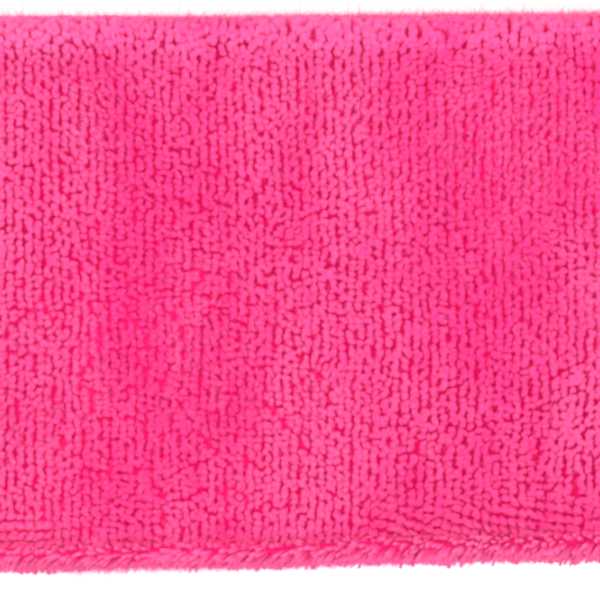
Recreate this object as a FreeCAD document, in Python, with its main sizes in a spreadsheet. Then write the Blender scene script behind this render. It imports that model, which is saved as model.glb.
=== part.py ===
import FreeCAD, Part
import os
import sys

import Sketcher

# A terry sports headband: a closed elastic loop that stands on its hemmed edge.
#
# Frame: +Z up, the loop rests on z = 0, and the origin is in the middle of the loop. The wide front
# faces -Y, the back seam is at +Y, and the loop's two half-round ends are at -X and +X. All sizes
# are in millimetres.
#
# The loop's middle line is a racetrack: a straight front, a straight back and two half circles. One
# strip of terry cloth is folded along the top edge into a flat tube, its two long edges are turned
# in and stitched together along the hem, a woven elastic web with rubber cords lies loose inside,
# and the ends meet at the back seam. Every strand that goes round the loop is drawn as a section,
# "across" being the distance outwards from the middle line, and is then run along the loop: the
# front and the back in straight runs, the two ends as half turns. The runs belong to bodies that
# move apart when the band is stretched, so each ends a little short of the next.

SIZES = {
    # the loop
    "band_height": 55.0,
    "band_thickness": 5.8,
    "relaxed_girth": 380.0,
    "end_radius": 34.0,
    "run_gap": 0.2,
    # the elastic web inside and its rubber cords
    "web_height": 38.0,
    "web_thickness": 1.2,
    "web_play": 0.4,
    "cord_diameter": 0.7,
    "cord_play": 0.03,
    # the hem along the bottom: a crease that the stitching pulls in, and a roll below it
    "hem_height": 3.0,
    "crease_depth": 1.1,
    "foot_width": 2.8,
    "roll_radius": 2.0,
    "hem_floor": 2.0,
    # sewing thread
    "thread_diameter": 0.3,
    "thread_play": 0.05,
    # the back seam
    "seam_gap": 0.4,
    "allowance_width": 6.0,
    "allowance_thickness": 1.2,
    "allowance_play": 0.05,
    "zigzag_width": 5.0,
    "zigzag_pitch": 3.0,
    # the care label, a folded ribbon held in the back seam
    "label_length": 24.0,
    "label_height": 12.0,
    "label_thickness": 0.5,
    "label_level": 30.0,
    "label_play": 0.25,
}

CORD_COUNT = 12
ZIGZAG_STEPS = 12

# Lengths that follow from the sizes, as expressions that the features share.
HALF_THICKNESS = "(Sizes.band_thickness / 2)"
HALF_STRAIGHT = "(Sizes.relaxed_girth / 4 - pi * Sizes.end_radius / 2)"
HALF_CAVITY = "(Sizes.web_thickness / 2 + Sizes.web_play)"
WALL = f"({HALF_THICKNESS} - {HALF_CAVITY})"
CAVITY_LOW = "(Sizes.hem_height + Sizes.hem_floor)"
CAVITY_HIGH = f"(Sizes.band_height - {WALL})"
CAVITY_HEIGHT = f"({CAVITY_HIGH} - {CAVITY_LOW})"
WEB_MIDDLE = f"(({CAVITY_LOW} + {CAVITY_HIGH}) / 2)"
WEB_LOW = f"({WEB_MIDDLE} - Sizes.web_height / 2)"
THREAD_RADIUS = "(Sizes.thread_diameter / 2)"
# the crease's flanks stand at 45 degrees, so a thread lies sqrt(2) radii out from its apex
THREAD_ACROSS = (
    f"({HALF_THICKNESS} - Sizes.crease_depth + sqrt(2) * ({THREAD_RADIUS} + Sizes.thread_play))"
)
# the back seam is built up from the inner face of the back, towards the middle of the loop
INNER_FACE = f"(Sizes.end_radius - {HALF_THICKNESS})"
ALLOWANCE_OUTER = f"({INNER_FACE} - Sizes.allowance_play)"
ALLOWANCE_INNER = f"({ALLOWANCE_OUTER} - Sizes.allowance_thickness)"
ALLOWANCE_MIDDLE = f"({ALLOWANCE_INNER} + Sizes.allowance_thickness / 2)"
LABEL_AXIS = f"({ALLOWANCE_INNER} - Sizes.label_play - Sizes.label_thickness / 2)"


def make_sizes(doc):
    """The spreadsheet of driving dimensions, one alias a row."""
    sheet = doc.addObject("Spreadsheet::Sheet", "Sizes")
    for row, (alias, value) in enumerate(SIZES.items(), start=1):
        sheet.set(f"A{row}", alias)
        sheet.set(f"B{row}", str(value))
        sheet.setAlias(f"B{row}", alias)
    doc.recompute()


def make_body(doc, name):
    body = doc.addObject("PartDesign::Body", name)
    body.Label = name
    body.AllowCompound = True
    return body


def make_sketch(body, role):
    """A sketch on the body's own origin plane of that role."""
    sketch = body.newObject("Sketcher::SketchObject", f"{body.Name}_section")
    plane = next(f for f in body.Origin.OriginFeatures if f.Role == role)
    sketch.AttachmentSupport = [(plane, "")]
    sketch.MapMode = "FlatFace"
    return sketch


def bind(sketch, constraint, expression):
    """Adds a constraint whose value is the expression."""
    index = sketch.addConstraint(constraint)
    sketch.setExpression(f"Constraints[{index}]", expression)


def pin_point(sketch, edge, point, place):
    """Ties a point of an edge to its place, given as two expressions."""
    for kind, expression in zip(("DistanceX", "DistanceY"), place):
        value = sketch.evalExpression(expression)
        bind(sketch, Sketcher.Constraint(kind, -1, 1, edge, point, float(value)), expression)


def draw_outline(sketch, corners, bulges=None):
    """A closed outline through the corners, each a pair of expressions.

    bulges maps a corner's number to the radius of the arc that leaves it, which bends outwards on
    an outline drawn anticlockwise.
    """
    bulges = bulges or {}
    spots = [
        FreeCAD.Vector(*(float(sketch.evalExpression(part)) for part in corner), 0)
        for corner in corners
    ]
    edges = []
    for number, start in enumerate(spots):
        end = spots[(number + 1) % len(spots)]
        if number in bulges:
            radius = float(sketch.evalExpression(bulges[number]))
            edges.append(sketch.addGeometry(arc_between(start, end, radius), False))
        else:
            edges.append(sketch.addGeometry(Part.LineSegment(start, end), False))
    for number, edge in enumerate(edges):
        following = edges[(number + 1) % len(edges)]
        sketch.addConstraint(Sketcher.Constraint("Coincident", edge, 2, following, 1))
        pin_point(sketch, edge, 1, corners[number])
        if number in bulges:
            radius = float(sketch.evalExpression(bulges[number]))
            bind(sketch, Sketcher.Constraint("Radius", edge, radius), bulges[number])


def arc_between(start, end, radius):
    """The anticlockwise arc of that radius, no more than a half circle, from start to end."""
    chord = end - start
    rise = max(radius**2 - (chord.Length / 2) ** 2, 0) ** 0.5
    left = FreeCAD.Vector(-chord.y, chord.x, 0).normalize()
    centre = start + chord * 0.5 + left * rise
    middle = centre - left * radius
    return Part.Arc(start, middle, end)


def draw_circle(sketch, centre, radius):
    """A circle, with its centre as two expressions and its radius as one."""
    spot = FreeCAD.Vector(*(float(sketch.evalExpression(part)) for part in centre), 0)
    size = float(sketch.evalExpression(radius))
    circle = sketch.addGeometry(Part.Circle(spot, FreeCAD.Vector(0, 0, 1), size), False)
    pin_point(sketch, circle, 3, centre)
    bind(sketch, Sketcher.Constraint("Radius", circle, size), radius)


def cover_section(sketch, across):
    """The flat terry tube: folded at the top, creased above the hem roll, open inside."""
    fold = f"(Sizes.band_height - {HALF_THICKNESS})"
    foot = "(Sizes.foot_width / 2)"
    apex = f"({HALF_THICKNESS} - Sizes.crease_depth)"
    above = "(Sizes.hem_height + Sizes.crease_depth)"
    below = "(Sizes.hem_height - Sizes.crease_depth)"
    outline = [
        (across(f"-{foot}"), "0"),
        (across(foot), "0"),
        (across(HALF_THICKNESS), below),
        (across(apex), "Sizes.hem_height"),
        (across(HALF_THICKNESS), above),
        (across(HALF_THICKNESS), fold),
        (across("0"), "Sizes.band_height"),
        (across(f"-{HALF_THICKNESS}"), fold),
        (across(f"-{HALF_THICKNESS}"), above),
        (across(f"-{apex}"), "Sizes.hem_height"),
        (across(f"-{HALF_THICKNESS}"), below),
    ]
    roll = "Sizes.roll_radius"
    draw_outline(sketch, outline, {1: roll, 5: HALF_THICKNESS, 6: HALF_THICKNESS, 10: roll})
    cavity = [
        (across(f"-{HALF_CAVITY}"), CAVITY_LOW),
        (across(HALF_CAVITY), CAVITY_LOW),
        (across(HALF_CAVITY), CAVITY_HIGH),
        (across(f"-{HALF_CAVITY}"), CAVITY_HIGH),
    ]
    draw_outline(sketch, cavity)


def cord_places(across):
    """The middles of the rubber cords, evenly spaced up the web."""
    spacing = f"(Sizes.web_height / {CORD_COUNT})"
    return [(across("0"), f"{WEB_LOW} + {spacing} * {n + 0.5}") for n in range(CORD_COUNT)]


def web_section(sketch, across):
    """The woven web with a channel for each rubber cord."""
    half = "(Sizes.web_thickness / 2)"
    top = f"({WEB_LOW} + Sizes.web_height)"
    outline = [
        (across(f"-{half}"), WEB_LOW),
        (across(half), WEB_LOW),
        (across(half), top),
        (across(f"-{half}"), top),
    ]
    draw_outline(sketch, outline)
    for place in cord_places(across):
        draw_circle(sketch, place, "Sizes.cord_diameter / 2 + Sizes.cord_play")


def cords_section(sketch, across):
    for place in cord_places(across):
        draw_circle(sketch, place, "Sizes.cord_diameter / 2")


def needle_thread_section(sketch, across):
    """The hem's needle thread, in the crease on the outside of the loop."""
    draw_circle(sketch, (across(THREAD_ACROSS), "Sizes.hem_height"), THREAD_RADIUS)


def bobbin_thread_section(sketch, across):
    """The hem's bobbin thread, in the crease on the inside of the loop."""
    draw_circle(sketch, (across(f"-{THREAD_ACROSS}"), "Sizes.hem_height"), THREAD_RADIUS)


STRANDS = {
    "terry_cover": cover_section,
    "elastic_web": web_section,
    "rubber_cords": cords_section,
    "hem_needle_thread": needle_thread_section,
    "hem_bobbin_thread": bobbin_thread_section,
}


def straight_run(doc, name, draw_section, start, length, side):
    """A strand's straight run, at the back (side 1, along +X) or the front (-1, along -X)."""
    body = make_body(doc, name)
    sketch = make_sketch(body, "YZ_Plane")
    draw_section(sketch, lambda distance: f"({distance})")
    pad = body.newObject("PartDesign::Pad", f"{name}_run")
    pad.Profile = sketch
    pad.setExpression("Length", length)
    if side < 0:
        body.Placement.Rotation = FreeCAD.Rotation(FreeCAD.Vector(0, 0, 1), 180)
    body.setExpression("Placement.Base.x", f"{side} * ({start})")
    body.setExpression("Placement.Base.y", f"{side} * Sizes.end_radius")
    return body


def half_turn(doc, name, draw_section, side):
    """A strand's half turn round the loop's end at -X (side -1) or +X (side 1)."""
    body = make_body(doc, name)
    sketch = make_sketch(body, "XZ_Plane")
    draw_section(sketch, lambda distance: f"(Sizes.end_radius + {distance})")
    turn = body.newObject("PartDesign::Revolution", f"{name}_turn")
    turn.Profile = sketch
    turn.ReferenceAxis = (sketch, ["V_Axis"])
    turn.Midplane = True
    turn.Angle = 180
    if side < 0:
        body.Placement.Rotation = FreeCAD.Rotation(FreeCAD.Vector(0, 0, 1), 180)
    body.setExpression("Placement.Base.x", f"{side} * {HALF_STRAIGHT}")
    return body


def upright(doc, name, corners, bulges, low, height):
    """A piece with a level outline, standing from low up through height."""
    body = make_body(doc, name)
    sketch = make_sketch(body, "XY_Plane")
    draw_outline(sketch, corners, bulges)
    return raise_section(body, sketch, low, height)


def upright_thread(doc, name, place, radius, low, height):
    """A thread that runs straight up."""
    body = make_body(doc, name)
    sketch = make_sketch(body, "XY_Plane")
    draw_circle(sketch, place, radius)
    return raise_section(body, sketch, low, height)


def raise_section(body, sketch, low, height):
    pad = body.newObject("PartDesign::Pad", f"{body.Name}_rise")
    pad.Profile = sketch
    pad.setExpression("Length", height)
    body.setExpression("Placement.Base.z", low)
    return body


def seam_allowance(doc, name, side):
    """One turned-back end of the terry strip, laid flat on the back's inner face."""
    near = "(Sizes.seam_gap / 2)"
    far = f"({near} + Sizes.allowance_width)"
    left, right = (near, far) if side > 0 else (f"(-1 * {far})", f"(-1 * {near})")
    corners = [
        (left, ALLOWANCE_INNER),
        (right, ALLOWANCE_INNER),
        (right, ALLOWANCE_OUTER),
        (left, ALLOWANCE_OUTER),
    ]
    return upright(doc, name, corners, None, CAVITY_LOW, CAVITY_HEIGHT)


def overlock_thread(doc, name, side):
    """The thread bound over the cut edge of one seam allowance."""
    edge = "(Sizes.seam_gap / 2 + Sizes.allowance_width + Sizes.thread_play)"
    place = (f"{side} * ({edge} + {THREAD_RADIUS})", ALLOWANCE_MIDDLE)
    return upright_thread(doc, name, place, THREAD_RADIUS, CAVITY_LOW, CAVITY_HEIGHT)


def back_seam_thread(doc, name):
    """The stitching that closes the loop, down in the groove between the two allowances."""
    return upright_thread(
        doc, name, ("0", ALLOWANCE_MIDDLE), THREAD_RADIUS, CAVITY_LOW, CAVITY_HEIGHT
    )


def join_zigzag(doc, name, outward):
    """The zigzag over the web's two meeting ends, on its outer (1) or inner (-1) face."""
    body = make_body(doc, name)
    sketch = make_sketch(body, "XZ_Plane")
    swing = "(Sizes.zigzag_width / 2)"
    low = f"({WEB_MIDDLE} - Sizes.zigzag_pitch * {ZIGZAG_STEPS / 2})"

    def turns(shift):
        return [
            (
                f"{1 if step % 2 else -1} * {swing} + {shift} * Sizes.thread_diameter",
                f"{low} + Sizes.zigzag_pitch * {step}",
            )
            for step in range(ZIGZAG_STEPS + 1)
        ]

    draw_outline(sketch, turns(0.5) + list(reversed(turns(-0.5))))
    pad = body.newObject("PartDesign::Pad", f"{name}_thickness")
    pad.Profile = sketch
    pad.setExpression("Length", "Sizes.thread_diameter")
    pad.Midplane = True
    lift = f"(Sizes.web_thickness / 2 + Sizes.thread_play + {THREAD_RADIUS})"
    body.setExpression("Placement.Base.y", f"Sizes.end_radius + {outward} * {lift}")
    return body


def care_label(doc, name):
    """A ribbon folded double, its round fold free and its cut ends at the label's hinge line."""
    half = "(Sizes.label_thickness / 2)"
    root = f"({half} + Sizes.thread_play)"
    tip = f"(Sizes.label_length - {half})"
    corners = [
        (root, f"{LABEL_AXIS} - {half}"),
        (tip, f"{LABEL_AXIS} - {half}"),
        ("Sizes.label_length", LABEL_AXIS),
        (tip, f"{LABEL_AXIS} + {half}"),
        (root, f"{LABEL_AXIS} + {half}"),
    ]
    low = "Sizes.label_level - Sizes.label_height / 2"
    return upright(doc, name, corners, {1: half, 2: half}, low, "Sizes.label_height")


def label_stitch(doc, name):
    """The stitch that holds the label, on its hinge line."""
    low = "Sizes.label_level - Sizes.label_height / 2"
    place = ("0", LABEL_AXIS)
    return upright_thread(doc, name, place, THREAD_RADIUS, low, "Sizes.label_height")


def build_loop(doc):
    """Every strand of the loop, in its five runs."""
    pieces = []
    whole = f"2 * ({HALF_STRAIGHT} - Sizes.run_gap)"
    half = f"{HALF_STRAIGHT} - Sizes.run_gap - Sizes.seam_gap / 2"
    far_end = f"-1 * ({HALF_STRAIGHT} - Sizes.run_gap)"
    for strand, section in STRANDS.items():
        pieces.append(straight_run(doc, f"front_{strand}", section, far_end, whole, -1))
        pieces.append(straight_run(doc, f"back_left_{strand}", section, far_end, half, 1))
        pieces.append(straight_run(doc, f"back_right_{strand}", section, "Sizes.seam_gap / 2", half, 1))
        pieces.append(half_turn(doc, f"left_{strand}", section, -1))
        pieces.append(half_turn(doc, f"right_{strand}", section, 1))
    return pieces


def build_back_seam(doc):
    """The pieces that close the loop at the back, and the label."""
    return [
        seam_allowance(doc, "seam_allowance_left", -1),
        seam_allowance(doc, "seam_allowance_right", 1),
        overlock_thread(doc, "overlock_thread_left", -1),
        overlock_thread(doc, "overlock_thread_right", 1),
        back_seam_thread(doc, "back_seam_thread"),
        join_zigzag(doc, "web_join_needle_zigzag", 1),
        join_zigzag(doc, "web_join_bobbin_zigzag", -1),
        care_label(doc, "care_label"),
        label_stitch(doc, "label_stitch"),
    ]


def check(doc, pieces):
    """Stops with a message if anything failed to build."""
    for thing in doc.Objects:
        if "Invalid" in thing.State or "Error" in thing.State:
            sys.exit(f"{thing.Name} did not build: {thing.State}")
    for piece in pieces:
        if piece.Shape.isNull() or not piece.Shape.isValid() or not piece.Shape.Solids:
            sys.exit(f"{piece.Label} has no valid solid")


def write_parts(pieces):
    os.makedirs("parts", exist_ok=True)
    for piece in pieces:
        piece.Shape.exportStep(os.path.join("parts", f"{piece.Label}.step"))


def main():
    doc = FreeCAD.newDocument("Headband")
    make_sizes(doc)
    pieces = build_loop(doc) + build_back_seam(doc)
    doc.recompute()
    check(doc, pieces)
    write_parts(pieces)
    for piece in pieces:
        box = piece.Shape.BoundBox
        print(
            f"{piece.Label:32s} {len(piece.Shape.Solids):3d} solids {piece.Shape.Volume:10.2f} mm3"
            f"  x {box.XMin:8.2f} {box.XMax:8.2f}  y {box.YMin:8.2f} {box.YMax:8.2f}"
            f"  z {box.ZMin:6.2f} {box.ZMax:6.2f}"
        )


main()
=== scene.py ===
import math

import bpy
import numpy as np
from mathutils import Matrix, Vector


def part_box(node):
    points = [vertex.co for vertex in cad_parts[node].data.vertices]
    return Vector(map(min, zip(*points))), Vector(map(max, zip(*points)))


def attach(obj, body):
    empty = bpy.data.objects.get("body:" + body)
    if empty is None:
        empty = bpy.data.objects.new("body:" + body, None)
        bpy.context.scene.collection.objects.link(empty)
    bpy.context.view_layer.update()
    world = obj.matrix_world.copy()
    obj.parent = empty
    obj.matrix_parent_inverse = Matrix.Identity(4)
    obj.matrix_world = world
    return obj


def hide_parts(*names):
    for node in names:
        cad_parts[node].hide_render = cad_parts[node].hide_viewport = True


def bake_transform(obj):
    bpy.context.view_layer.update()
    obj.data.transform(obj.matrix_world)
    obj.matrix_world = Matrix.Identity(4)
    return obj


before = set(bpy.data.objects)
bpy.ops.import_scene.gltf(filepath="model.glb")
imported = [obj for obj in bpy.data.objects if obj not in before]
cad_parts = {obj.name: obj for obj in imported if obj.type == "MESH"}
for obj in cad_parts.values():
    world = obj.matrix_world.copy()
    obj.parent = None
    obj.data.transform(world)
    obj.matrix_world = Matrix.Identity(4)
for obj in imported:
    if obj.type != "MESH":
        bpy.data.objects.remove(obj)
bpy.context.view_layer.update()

# A terry sports headband, built loop by loop. It is a ring of cloth round a racetrack: "girth" is
# the distance along it from the middle of the front, positive towards +X, "across" the distance
# outwards from its middle line, and "along" the distance up the outside of its section, over the
# fold and down the inside, which is the way the knitted columns run. Lengths are in metres.

MM = 0.001
SEED = 20
SIDES = {"left": -1, "right": 1}

# How the limp band stands on the floor.
REST = 0.6 * MM  # how far the loops under the hem hold the cloth off the floor
RISE = 1.4 * MM  # the most that the hem stands off the floor at the front
RISE_AT = (-26 * MM, 40 * MM, 48 * MM, 90 * MM)  # girths where that starts, is full, fades and ends
WAVE = 0.7 * MM  # height of the gentle waves round the ends and the back
WAVES = 5
WAVES_AT = (60 * MM, 90 * MM)  # distances from the middle of the front where they start and are full
STEADY = 0.7  # the share of those movements that is gone at the fold
SEAM_PINCH = 0.4  # the share of its thickness that the band loses at the back seam
SEAM_REACH = 1.6 * MM


# ---- What the frame says about the band ----


class Band:
    """The racetrack and the section's main sizes, read from the CAD nodes' boxes."""

    def __init__(self):
        front_low, front_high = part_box("front_terry_cover")
        right_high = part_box("right_terry_cover")[1]
        self.half_thickness = (front_high.y - front_low.y) / 2
        self.end_radius = -(front_high.y + front_low.y) / 2
        self.height = front_high.z
        self.half_straight = right_high.x - self.end_radius - self.half_thickness
        self.half_girth = 2 * self.half_straight + math.pi * self.end_radius

    def lift(self, girth, up):
        """How far the soft band rises off the floor, more at the hem than at the fold.

        The hem rests on the floor along the left of the front and stands a little off it further
        right. Further round, the band waves gently.
        """
        hump = hill(girth, *RISE_AT)
        wave = 0.5 - 0.5 * np.cos(girth / (2 * self.half_girth / WAVES) * math.tau)
        share = 1 - STEADY * np.clip(up / self.height, 0, 1)
        start, full = WAVES_AT
        away = smoothstep((np.abs(girth) - start) / (full - start))
        return REST + share * (RISE * hump + WAVE * wave * away)

    def place(self, girth, across, up):
        """Points at a girth, and so far across and up the band, drawn in at the back seam."""
        track, outward, _ = self.track(girth)
        across = across * (1 - SEAM_PINCH * dip(self.half_girth - np.abs(girth), SEAM_REACH))
        x = track[..., 0] + across * outward[..., 0]
        y = track[..., 1] + across * outward[..., 1]
        return points_at(x, y, up + self.lift(girth, up))

    def track(self, girth):
        """The middle line's point, its outward direction and its direction of travel to +X."""
        side = np.where(girth < 0, -1.0, 1.0)
        run = np.abs(girth)
        turn = np.clip((run - self.half_straight) / self.end_radius, 0, math.pi)
        before = np.minimum(run, self.half_straight)
        after = np.maximum(run - self.half_straight - math.pi * self.end_radius, 0)
        outward = np.stack([side * np.sin(turn), -np.cos(turn)], -1)
        middle = np.stack([side * (before - after), np.zeros_like(run)], -1)
        travel = np.stack([np.cos(turn), side * np.sin(turn)], -1)
        return middle + self.end_radius * outward, outward, travel


band = Band()


# ---- Numbers, noise and meshes ----


def smoothstep(value):
    """0 below 0, 1 above 1 and a smooth rise between."""
    part = np.clip(value, 0, 1)
    return part * part * (3 - 2 * part)


def hill(value, start, full, fade, end):
    """0 up to start, 1 between full and fade and 0 after end."""
    return smoothstep((value - start) / (full - start)) * (1 - smoothstep((value - fade) / (end - fade)))


def points_at(x, y, z):
    """Points from coordinates whose shapes fit together."""
    return np.stack(np.broadcast_arrays(x, y, z), -1)


def dip(distance, reach):
    """1 at no distance, falling smoothly to nearly 0 at twice the reach."""
    return np.exp(-((distance / reach) ** 2))


def smooth_noise(rng, shape, reach):
    """Random numbers on a grid that wraps round, smoothed over reach cells each way, spread 1."""
    field = np.fft.rfft2(rng.standard_normal(shape))
    down = np.fft.fftfreq(shape[0])[:, None] * reach[0]
    over = np.fft.rfftfreq(shape[1])[None, :] * reach[1]
    field *= np.exp(-2 * math.pi**2 * (down**2 + over**2))
    smooth = np.fft.irfft2(field, shape)
    return (smooth - smooth.mean()) / smooth.std()


def new_object(name, data):
    """An object in the scene."""
    made = bpy.data.objects.new(name, data)
    bpy.context.scene.collection.objects.link(made)
    return made


def new_mesh(name, points, faces, material, rise=None):
    """A smooth mesh object from an array of points and an array of faces with one number of corners.

    rise, if given, is stored on the points: 0 at the ground cloth, 1 at the tips of the pile and
    more where the pile is paler, mostly painted sheen and partly random tone.
    """
    mesh = bpy.data.meshes.new(name)
    mesh.vertices.add(points.size // 3)
    mesh.vertices.foreach_set("co", np.ascontiguousarray(points, np.float32).ravel())
    mesh.loops.add(faces.size)
    mesh.loops.foreach_set("vertex_index", np.ascontiguousarray(faces, np.int32).ravel())
    mesh.polygons.add(len(faces))
    starts = np.arange(0, faces.size, faces.shape[1], dtype=np.int32)
    mesh.polygons.foreach_set("loop_start", starts)
    mesh.polygons.foreach_set("use_smooth", np.ones(len(faces), bool))
    mesh.update(calc_edges=True)
    if rise is not None:
        stored = mesh.attributes.new("rise", "FLOAT", "POINT")
        stored.data.foreach_set("value", np.ascontiguousarray(rise, np.float32).ravel())
    mesh.materials.append(material)
    return new_object(name, mesh)


def tube_faces(count, rings, sides):
    """The faces of many open tubes, each of so many rings of so many points."""
    ring = np.arange(rings - 1)[:, None] * sides
    side = np.arange(sides)[None, :]
    after = (side + 1) % sides
    one = np.stack([ring + side, ring + after, ring + sides + after, ring + sides + side], -1)
    one = one.reshape(-1, 4)
    return (one[None] + (np.arange(count) * rings * sides)[:, None, None]).reshape(-1, 4)


# ---- The section of the cloth ----

PILE = 1.3 * MM  # from the ground cloth to the tips of the loops
CREASE = 3.2 * MM  # height of the crease that the hem's stitching pulls in
HEM_GROOVE = PILE + 0.75 * MM  # height of the groove between the roll and the fringe under it
SPRUNG = 0.66 * MM  # how far the fold's pile springs up past the CAD cover's top
CROWDED = 1.55  # how many times closer the rows of loops stand below the crease
OUTLINE_POINTS = 4000
LOOK = 6  # the outline's direction is taken over this many points each way


def section_outline(samples):
    """The ground cloth's outline as (across, up) points evenly spaced along it, and its length.

    It starts under the hem and runs up the outside of the band, over the fold at the top and down
    the inside. The hem's stitching pulls it in above the roll.
    """
    half = band.half_thickness - PILE
    top = band.height + SPRUNG - PILE
    knots = [
        (0.0, PILE + 0.20 * MM),  # the middle of the hem's underside
        (0.55 * half, PILE + 0.28 * MM),
        (0.85 * half, PILE + 0.65 * MM),  # the roll at its widest
        (0.55 * half, CREASE - 0.1 * MM),  # pulled in by the stitching
        (0.70 * half, CREASE + 0.7 * MM),
        (1.02 * half, CREASE + 1.9 * MM),
        (1.08 * half, CREASE + 4.5 * MM),  # a slight bulge above the crease
    ]
    knots += [(half, up) for up in np.linspace(CREASE + 8 * MM, top - half - 1 * MM, 12)]
    knots += [
        (half * math.cos(angle), top - half + half * math.sin(angle))
        for angle in np.radians([10, 35, 62, 90])
    ]
    right = np.array(knots)
    left = right[1:-1][::-1] * [-1, 1]
    return resample_closed(np.vstack([right, left]), samples)


def resample_closed(knots, samples):
    """A smooth closed curve through the knots, at points evenly spaced along it, and its length."""
    count = len(knots)
    ahead = np.roll(knots, -1, axis=0)
    chord = np.sqrt(np.linalg.norm(ahead - knots, axis=1))
    fine = []
    for number in range(count):
        p = [knots[(number + k) % count] for k in (-1, 0, 1, 2)]
        d = [chord[(number + k) % count] for k in (-1, 0, 1)]
        m1 = d[1] * ((p[1] - p[0]) / d[0] - (p[2] - p[0]) / (d[0] + d[1]) + (p[2] - p[1]) / d[1])
        m2 = d[1] * ((p[2] - p[1]) / d[1] - (p[3] - p[1]) / (d[1] + d[2]) + (p[3] - p[2]) / d[2])
        t = np.linspace(0, 1, 60, endpoint=False)[:, None]
        fine.append(
            (2 * t**3 - 3 * t**2 + 1) * p[1]
            + (t**3 - 2 * t**2 + t) * m1
            + (-2 * t**3 + 3 * t**2) * p[2]
            + (t**3 - t**2) * m2
        )
    fine = np.vstack(fine)
    steps = np.linalg.norm(np.roll(fine, -1, axis=0) - fine, axis=1)
    length = steps.sum()
    along = np.concatenate([[0], np.cumsum(steps)])
    wanted = np.linspace(0, length, samples, endpoint=False)
    closed = np.vstack([fine, fine[:1]])
    return np.stack([np.interp(wanted, along, closed[:, k]) for k in (0, 1)], -1), length


class Section:
    """The outline as smooth functions of the distance along it, with its outward direction."""

    def __init__(self):
        self.points, self.length = section_outline(OUTLINE_POINTS)
        self.steps = len(self.points)
        ahead = np.roll(self.points, -LOOK, axis=0) - np.roll(self.points, LOOK, axis=0)
        ahead /= np.linalg.norm(ahead, axis=1)[:, None]
        self.ahead = ahead
        self.outward = np.stack([ahead[:, 1], -ahead[:, 0]], -1)
        tips = self.points + 0.8 * PILE * self.outward
        steps = np.linalg.norm(np.roll(tips, -1, axis=0) - np.roll(tips, 1, axis=0), axis=1) / 2
        least = 0.5 * self.length / self.steps
        packed = np.where(self.points[:, 1] < CREASE, CROWDED, 1.0)
        self.tip_length = np.concatenate([[0], np.cumsum(packed * np.maximum(steps, least))])

    def rows(self, pitch):
        """Distances along the outline whose pile tips are that pitch apart."""
        whole = self.tip_length[-1]
        count = int(round(whole / pitch))
        wanted = (np.arange(count) + 0.5) / count * whole
        along = np.linspace(0, self.length, self.steps + 1)
        return np.interp(wanted, self.tip_length, along)

    def at(self, distance):
        """(point, direction of travel, outward direction), each as (across, up)."""
        spot = (distance / self.length * self.steps) % self.steps
        low = np.floor(spot).astype(int)
        part = (spot - low)[..., None]
        high = (low + 1) % self.steps
        low = low % self.steps
        found = []
        for table in (self.points, self.ahead, self.outward):
            found.append(table[low] * (1 - part) + table[high] * part)
        return found


section = Section()


# ---- Materials ----


def new_material(name):
    """A new material, its node tree and its Principled shader."""
    material = bpy.data.materials.new(name)
    material.use_nodes = True
    return material, material.node_tree, material.node_tree.nodes["Principled BSDF"]


def set_inputs(node, **values):
    """Values for a node's inputs, with _ for the spaces in their names."""
    for name, value in values.items():
        node.inputs[name.replace("_", " ")].default_value = value


def object_noise(tree, scale, detail=2.0, roughness=0.5, tall=1.0):
    """Noise fixed to the object's own points, in features per metre that are tall times as high."""
    place = tree.nodes.new("ShaderNodeTexCoord")
    drawn = tree.nodes.new("ShaderNodeVectorMath")
    drawn.operation = "MULTIPLY"
    drawn.inputs[1].default_value = (1, 1, 1 / tall)
    tree.links.new(place.outputs["Object"], drawn.inputs[0])
    noise = tree.nodes.new("ShaderNodeTexNoise")
    set_inputs(noise, Scale=scale, Detail=detail, Roughness=roughness)
    tree.links.new(drawn.outputs["Vector"], noise.inputs["Vector"])
    return noise


def colour_ramp(tree, source, stops):
    """A ramp through (place, colour) stops, driven by a socket."""
    ramp = tree.nodes.new("ShaderNodeValToRGB")
    for number, (place, colour) in enumerate(stops):
        elements = ramp.color_ramp.elements
        stop = elements[number] if number < 2 else elements.new(place)
        stop.position = place
        stop.color = (*colour, 1.0)
    tree.links.new(source, ramp.inputs["Fac"])
    return ramp


def colour_by(tree, shader, noise, *stops):
    """Colours a shader by a noise, through (place, colour) stops."""
    ramp = colour_ramp(tree, noise.outputs["Fac"], stops)
    tree.links.new(ramp.outputs["Color"], shader.inputs["Base Color"])


def add_bump(tree, shader, height, strength, distance):
    """Fine relief on a shader, from a height socket."""
    bump = tree.nodes.new("ShaderNodeBump")
    set_inputs(bump, Strength=strength, Distance=distance)
    tree.links.new(height, bump.inputs["Height"])
    tree.links.new(bump.outputs["Normal"], shader.inputs["Normal"])


PINK = (0.70, 0.030, 0.172)
PALE_PINK = (0.72, 0.072, 0.223)  # the lighter patches
SHEEN_PINK = (0.97, 0.185, 0.440)  # painted sheen: the pale crowns at the fold and the roll, and single fibres catching the light
FOOT_SHADE_PINK = (0.75, 0.020, 0.175)  # painted shade: deeper, more saturated pink at the loops' feet, down among the loops
# painted shade: the ground cloth's darker pink, for the shade down the gaps
GROUND_SHADE_PINK = (0.64, 0.010, 0.115)
# the painted glow's colour
PAINTED_GLOW_PINK = (1.0, 0.015, 0.320)
PAINTED_GLOW = 0.14  # painted glow: red emission standing in for the light that the dyed yarn bounces down the gaps, as a share of white
THREAD_PINK = (0.80, 0.030, 0.170)
THREAD_WHITE = (0.80, 0.80, 0.78)
WEB_WHITES = ((0.62, 0.61, 0.58), (0.78, 0.77, 0.74))
SATIN_WHITES = ((0.80, 0.80, 0.81), (0.88, 0.88, 0.88))
RUBBER_CREAMS = ((0.55, 0.47, 0.33), (0.72, 0.66, 0.52))


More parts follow.
